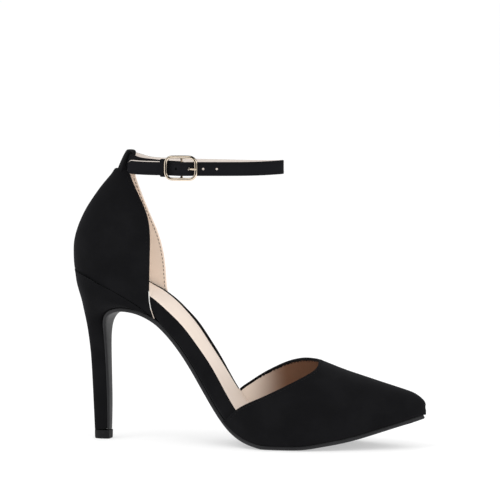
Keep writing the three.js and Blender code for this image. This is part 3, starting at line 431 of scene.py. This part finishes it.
def stitch_row(name, carrier, lines):
    """Stitches of black thread that lie on a carrier along lines of points, as one piece."""
    bpy.ops.object.select_all(action="DESELECT")
    bpy.ops.mesh.primitive_uv_sphere_add(segments=8, ring_count=5, radius=0.5)
    stitch = bpy.context.active_object
    bpy.ops.object.mode_set(mode="EDIT")
    bpy.ops.mesh.select_all(action="SELECT")
    bpy.ops.transform.resize(value=(stitch_length, stitch_width, stitch_height))
    bpy.ops.object.mode_set(mode="OBJECT")
    tree = BVHTree.FromObject(carrier, bpy.context.evaluated_depsgraph_get())
    copies = []
    for line in lines:
        for before, point, after in zip(line, line[1:], line[2:]):
            spot, normal, _, _ = tree.find_nearest(point)
            ahead = (after - before).normalized()
            across = normal.cross(ahead).normalized()
            ahead = across.cross(normal)
            turn = Matrix((ahead, across, normal)).transposed().to_4x4()
            shape = stitch.data.copy()
            shape.transform(Matrix.Translation(spot + normal * stitch_lift) @ turn)
            copies.append(bpy.data.objects.new(name, shape))
            bpy.context.collection.objects.link(copies[-1])
    bpy.data.objects.remove(stitch)
    choose(*copies)
    bpy.ops.object.join()
    row = bpy.context.active_object
    row.name = name
    row.data.materials.clear()
    row.data.materials.append(black_thread)
    bpy.ops.object.shade_smooth()
    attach(row, "root")


quarter = skin_of("quarter", "quarter_skin")
bpy.ops.object.mode_set(mode="EDIT")
bpy.ops.mesh.select_all(action="SELECT")
bpy.ops.mesh.bisect(plane_co=(0, 0, lining_top), plane_no=(0, 0, 1))
bpy.ops.mesh.select_all(action="DESELECT")
bpy.ops.object.mode_set(mode="OBJECT")


def heel_cup(point):
    """The line through the middle of the heel part at a point's height. It leans forward on top."""
    lean = max(point.z - cup_top, 0) * cup_lean
    return [Vector((cup_back + lean, 0, point.z)), Vector((cup_front + lean, 0, point.z))]


def is_quarter_edge(centre, normal):
    """Whether a face of the rim looks forward, as the side opening's edge does."""
    return normal.x > looks_forward and normal.z < looks_up


for layer in (suede_cloth, lining_leather, suede_cloth, raw_cut):
    quarter.data.materials.append(layer)
sort_faces(quarter, heel_cup)
outer_runs = edge_runs(quarter, FABRIC, is_quarter_edge)
inner_runs = edge_runs(quarter, LINING, is_quarter_edge)
for face in quarter.data.polygons:
    if face.center.z > lining_top:
        face.material_index = EDGE
    elif face.material_index == EDGE and is_quarter_edge(face.center, face.normal):
        if face.center.y > 0:
            face.material_index = LINING
        elif face.center.z < raw_top:
            face.material_index = RAW
round_edges(quarter, fold_rounding)
smooth(quarter, levels=2)
place_on(quarter, "quarter")
outer_lines = [evenly(run, stitch_pitch, stitch_inset) for run in outer_runs]
inner_lines = [evenly(run, stitch_pitch, lining_inset) for run in inner_runs]
stitch_row("quarter_stitches", quarter, outer_lines)
stitch_row("quarter_lining_stitches", quarter, inner_lines)

# Vamp: the front part of the upper over the toes, the same fabric and lining, folded over and
# stitched along the throat. Under the throat its lining is painted brown as shade, for the shadow
# deep in the toe.
topline_rounding = 0.2 * mm
# Painted shade: along the shoe, between the two lengths below, the lining is blended into this brown
# to stand for the shadow deep inside the toe.
painted_toe_shade = (0.205, 0.10, 0.055, 1)
painted_shade_from = 0.086
painted_shade_past = 0.116
throat_front = 0.15
feather_height = 0.015
looks_down = -0.5
toe_line = [Vector((0.06, -0.003, 0.012)), Vector((0.13, 0.0, 0.006)), Vector((0.195, 0.003, 0.02))]


def lining_with_painted_shade(place):
    """The lining, blended towards the toe into a painted shade of brown that stands in for the
    shadow under the throat.
    """
    along = place.add("ShaderNodeSeparateXYZ", {}, {"Vector": place}, "X")
    made = lining(place)
    made["Base Color"] = along.ramp(painted_shade_from, painted_shade_past).blend(made["Base Color"], painted_toe_shade)
    return made


def toe_spine(point):
    """The line through the middle of the toe part, the same for every point."""
    return toe_line


def is_throat(centre, normal):
    """Whether a face of the rim lies at the throat, not at the feather edge under the foot."""
    if centre.x >= throat_front or centre.z <= feather_height:
        return False
    return normal.x < looks_forward and normal.z > looks_down


vamp = skin_of("vamp", "vamp_skin")
for layer in (suede_cloth, finish("lining_with_painted_shade", lining_with_painted_shade), suede_cloth):
    vamp.data.materials.append(layer)
sort_faces(vamp, toe_spine)
outer_runs = edge_runs(vamp, FABRIC, is_throat)
inner_runs = edge_runs(vamp, LINING, is_throat)
round_edges(vamp, topline_rounding, material=EDGE)
smooth(vamp, levels=2)
place_on(vamp, "vamp")
outer_lines = [evenly(run, stitch_pitch, stitch_inset) for run in outer_runs]
inner_lines = [evenly(run, stitch_pitch, lining_inset) for run in inner_runs]
stitch_row("vamp_stitches", vamp, outer_lines)
stitch_row("vamp_lining_stitches", vamp, inner_lines)

# Ankle strap: a narrow two layer strap, black outside and lined with beige, folded round the
# buckle's bar at one end, with five punched holes in the other.
strap_black = (0.005, 0.0052, 0.0068, 1)
strap_sheen = (0.0078, 0.008, 0.01, 1)
strap_beige = (0.58, 0.51, 0.46, 1)
strap_pale = (0.68, 0.62, 0.57, 1)
strap_stitch_pitch = 2.2 * mm
strap_stitch_inset = 0.9 * mm
long_run = 12
tail_front = 0.0437
tail_gap = 7 * mm
tail_lip = 0.1 * mm
ply_thick = 1.5 * mm
below_edge = 1.5 * mm
well_outside = 4 * mm
skim = 0.02 * mm
open_reach = 3 * mm
turned_in = 0.35  # a face of the inside looks to the middle of the loop by more than this
turned_up = 0.3  # a face of an edge looks up or down by more than this
level = 0.9  # and the flat of an edge by more than this
strap_spine = [Vector((0.03, 0, 0.174)), Vector((0.108, 0, 0.174))]


def strap_leather(place):
    grain = place.noise(1800, 3, 0.6)
    return {
        "Base Color": place.noise(60, 3).blend(strap_black, strap_sheen),
        "Roughness": 0.62 + 0.15 * grain,
        "Specular IOR Level": 0.09,
        "Normal": grain.bump(0.04 * mm, 0.6),
    }


def strap_lining(place):
    made = lining(place)
    made["Base Color"] = place.noise(35, 3).blend(strap_beige, strap_pale)
    return made


strap_black_leather = finish("strap_leather", strap_leather)
strap = skin_of("ankle_strap", "strap", grow=0)
strap.data.materials.append(strap_black_leather)
strap.data.materials.append(finish("strap_lining", strap_lining))
strap.data.materials.append(strap_black_leather)
strap_tree = BVHTree.FromObject(strap, bpy.context.evaluated_depsgraph_get())


def into_strap(point):
    """The level way from a point of the strap to the middle of the loop that it forms."""
    inward = spine_point(point, strap_spine) - point
    inward.z = 0
    return inward.normalized()


def on_tail(point):
    """Whether a point of the upper edge lies on the free end, with another ply behind it."""
    if point.y > 0 or point.x > tail_front:
        return False
    inward = into_strap(point)
    start = point - Vector((0, 0, below_edge))
    outside = strap_tree.ray_cast(start - inward * well_outside, inward)[0]
    if outside is None or (start - outside).dot(inward) > ply_thick:
        return False
    back = strap_tree.ray_cast(outside + inward * ply_thick / 2, inward)[0]
    if back is None:
        return False
    return strap_tree.ray_cast(back + inward * skim, inward, tail_gap)[0] is not None


def crease_corners(piece, angle):
    """Keeps the corners of a piece where they are when it is smoothed."""
    choose(piece)
    bpy.ops.object.mode_set(mode="EDIT")
    bpy.ops.mesh.select_mode(type="EDGE")
    bpy.ops.mesh.select_all(action="DESELECT")
    bpy.ops.mesh.edges_select_sharp(sharpness=math.radians(angle))
    bpy.ops.transform.edge_crease(value=1)
    bpy.ops.mesh.select_all(action="DESELECT")
    bpy.ops.mesh.select_mode(type="VERT")
    bpy.ops.object.mode_set(mode="OBJECT")


def everywhere(centre, normal):
    """Lets the stitches run along every edge."""
    return True


faces_inward = set()
lip_corners = set()
for face in strap.data.polygons:
    centre = Vector(face.center)
    open_air = strap_tree.ray_cast(centre + face.normal * skim, face.normal, open_reach)[0] is None
    inward = face.normal.dot(into_strap(centre)) > turned_in
    if abs(face.normal.z) > turned_up and open_air:
        face.material_index = EDGE
        if inward:
            faces_inward.add(face.index)
        if face.normal.z > 0 and on_tail(centre):
            face.material_index = LINING
            if face.normal.z > level:
                lip_corners.update(face.vertices)
    elif inward:
        face.material_index = LINING
strap_runs = edge_runs(strap, FABRIC, everywhere)
for index in faces_inward:
    strap.data.polygons[index].material_index = LINING
crease_corners(strap, angle=40)
# The pale edge of the free end stands a hair above its black face, and shows as a fine line.
for corner in lip_corners:
    strap.data.vertices[corner].co.z += tail_lip
smooth(strap, levels=1, angle=50)
long_runs = [run for run in strap_runs if len(run) > long_run]
strap_lines = [evenly(run, strap_stitch_pitch, strap_stitch_inset) for run in long_runs]
stitch_row("strap_stitches", strap, strap_lines)
place_on(strap, "ankle_strap")

# Loop: a band of the upper's fabric at the heel back, folded round the strap and sewn to the top
# of the quarter. Its lower outside edge is drawn down over the quarter.
loop_wall = 1.2 * mm
loop_reach = 3.2 * mm
loop_flare = 1.8 * mm
clearly = 0.2 * mm
loop = skin_of("strap_loop", "strap_sleeve")
loop.data.materials.append(suede_cloth)
for corner in loop.data.vertices:
    away = corner.co - strap_tree.find_nearest(corner.co)[0]
    outward = -into_strap(corner.co)
    if away.length > loop_wall / 2 and away.dot(outward) > clearly and away.z < -clearly:
        corner.co += outward * loop_flare - Vector((0, 0, loop_reach))
smooth(loop, levels=2, angle=60)
place_on(loop, "strap_loop")

# Keeper: a small band of the strap's leather beside the buckle. It is wrapped round both plies,
# closed at the back, and holds the free end down.
keeper_rounding = 0.25 * mm
keeper = skin_of("keeper", "strap_keeper")
keeper.data.materials.append(strap_black_leather)
round_edges(keeper, keeper_rounding)
smooth(keeper, levels=1, angle=60)
place_on(keeper, "keeper")

# Buckle: a wire frame bent to a rounded square, with a centre bar in the strap's fold and a pin
# that swings on it. Both are polished brass, plated in pale gold.
gold = (0.90, 0.78, 0.64, 1)
gold_deep = (0.82, 0.68, 0.52, 1)


def plating(place):
    swirl = place.noise(300, 3)
    return {
        "Base Color": swirl.blend(gold, gold_deep),
        "Metallic": 1.0,
        "Roughness": 0.05 + 0.06 * swirl,
        "Normal": place.noise(900, 2).bump(0.003 * mm, 0.3),
    }


gold_plate = finish("gold_plate", plating)
for node, name in (("buckle_frame", "buckle_wire"), ("buckle_prong", "buckle_pin")):
    metal = skin_of(node, name, grow=0)
    metal.data.materials.append(gold_plate)
    smooth(metal, levels=1, angle=60)
    place_on(metal, node)

# Floor: a wide plain sheet, white and without gloss, that runs back out of sight behind the shoe.
# It glows a little, so that it stays as white as paper and still takes a soft shadow.
floor_size = 80
floor_middle = 39.3
floor_grey = (0.56, 0.56, 0.56, 1)
floor_glow = 0.46
white = (1, 1, 1, 1)

bpy.ops.object.select_all(action="DESELECT")
bpy.ops.mesh.primitive_plane_add(size=floor_size, location=(0, floor_middle, 0))
bpy.ops.object.transform_apply()
floor = bpy.context.active_object
floor.name = "floor"


def floor_white(place):
    return {
        "Base Color": floor_grey,
        "Roughness": 0.9,
        "Specular IOR Level": 0.0,
        "Emission Color": white,
        "Emission Strength": floor_glow,
    }


floor.data.materials.append(finish("floor_white", floor_white))

# Camera: it stands on the outer side of the shoe, turned a little to the toe and raised a little.
# The photograph's scale at the shoe, in metres to a pixel, gives the length of its lens.
target = Vector((0.096846, 0, 0.12227))
camera_away = 2.5
camera_turn = math.radians(15.5)
camera_rise = math.radians(4.3206)
photo_pixels = 500
pixel_size = 0.63 * mm
film_width = 36
sight_end = 200
camera_side = Vector((math.sin(camera_turn), -math.cos(camera_turn), 0)) * math.cos(camera_rise)
camera_from = camera_side + Vector((0, 0, math.sin(camera_rise)))
camera_data = bpy.data.cameras.new("camera")
camera_data.sensor_width = film_width
camera_data.lens = film_width * camera_away / (photo_pixels * pixel_size)
camera_data.clip_end = sight_end
camera = bpy.data.objects.new("camera", camera_data)
camera.location = target + camera_from * camera_away
camera.rotation_euler = (-camera_from).to_track_quat("-Z", "Y").to_euler()
bpy.context.collection.objects.link(camera)
bpy.context.scene.camera = camera


# Lights: two square panels, a key from above the heel and a fill from the toe side. Both are large
# for soft shadows, and look at the middle of the shoe.
def soft_light(name, place, size, power):
    """A square panel light that faces the shoe."""
    data = bpy.data.lights.new(name, "AREA")
    data.size = size
    data.energy = power
    light = bpy.data.objects.new(name, data)
    light.location = place
    light.rotation_euler = (Vector(place) - target).to_track_quat("Z", "Y").to_euler()
    bpy.context.collection.objects.link(light)


soft_light("key", place=(-0.9, -1.3, 1.9), size=1.6, power=12)
soft_light("fill", place=(1.8, -1.2, 1.3), size=1.8, power=14)

# Room: white walls all round for an even light. Shiny pieces reflect only the side walls, up to
# head height, and what lies in front, behind and above is dark to them.
room_dark = (0.03, 0.03, 0.03, 1)
back_corner = (-0.75, -0.35)
front_corner = (0.45, 0.8)
wall_top = (0.3, 0.6)
world = bpy.data.worlds.new("studio")
world.use_nodes = True
world.node_tree.nodes.clear()
facing = Wire(world.node_tree).add("ShaderNodeTexCoord", {}, {}, "Generated")
product = {"operation": "DOT_PRODUCT"}
toward = facing.add("ShaderNodeVectorMath", product, {0: facing, 1: camera_side}, "Value")
seen_shiny = Wire(world.node_tree).add("ShaderNodeLightPath", {}, {}, "Is Glossy Ray")
height = facing.add("ShaderNodeSeparateXYZ", {}, {"Vector": facing}, "Z")
side_walls = toward.ramp(*back_corner) * (1 - toward.ramp(*front_corner))
side_walls = side_walls * (1 - height.ramp(*wall_top))
dark = seen_shiny * (1 - side_walls)
room = dark.blend(white, room_dark)
shown = room.add("ShaderNodeBackground", {}, {"Color": room, "Strength": 1})
output = world.node_tree.nodes.new("ShaderNodeOutputWorld")
world.node_tree.links.new(shown.socket, output.inputs["Surface"])
bpy.context.scene.world = world
bpy.context.scene.view_settings.view_transform = "Standard"
